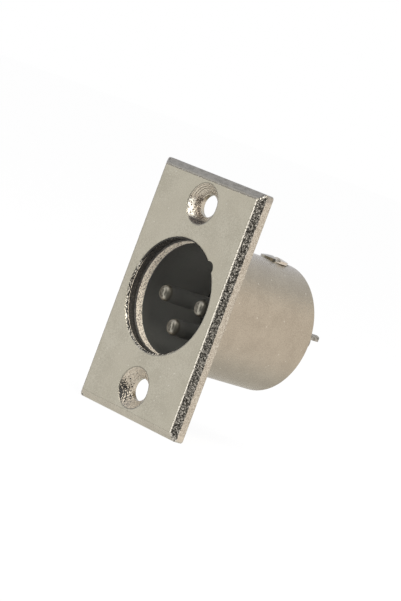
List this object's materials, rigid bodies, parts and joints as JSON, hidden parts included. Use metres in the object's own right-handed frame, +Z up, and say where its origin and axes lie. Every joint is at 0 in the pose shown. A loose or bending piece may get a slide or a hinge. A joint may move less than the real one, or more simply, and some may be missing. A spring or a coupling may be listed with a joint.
{
  "type": "xlr panel socket",
  "caption": "Male panel socket for a round audio plug: flanged metal shell with a keyed mouth, black insert, rounded contact pins and a screw that holds the insert.",
  "frame": {"origin": "on the bore axis, in the plane of the flange's back face that seats on the panel, midway between the two panel screw holes", "axes": "-Y out of the mouth towards the plug, +Y through the panel towards the solder cups, +Z up along the flange towards the side with the retaining screw, +X to the right seen from the front"},
  "size_m": [0.0214, 0.0256, 0.035],
  "materials": {
    "shell_nickel": "satin nickel plate over a zinc die casting, fine sparkling grain",
    "insert_black": "black moulded plastic, matt",
    "pin_silver": "bright silver plate over turned brass",
    "screw_nickel": "bright nickel plate over steel"
  },
  "bodies": {
    "root": {"shell": "shell_nickel", "insert": "insert_black", "pin_1": "pin_silver", "pin_2": "pin_silver", "pin_3": "pin_silver", "retaining_screw": "screw_nickel"}
  },
  "joints": []
}
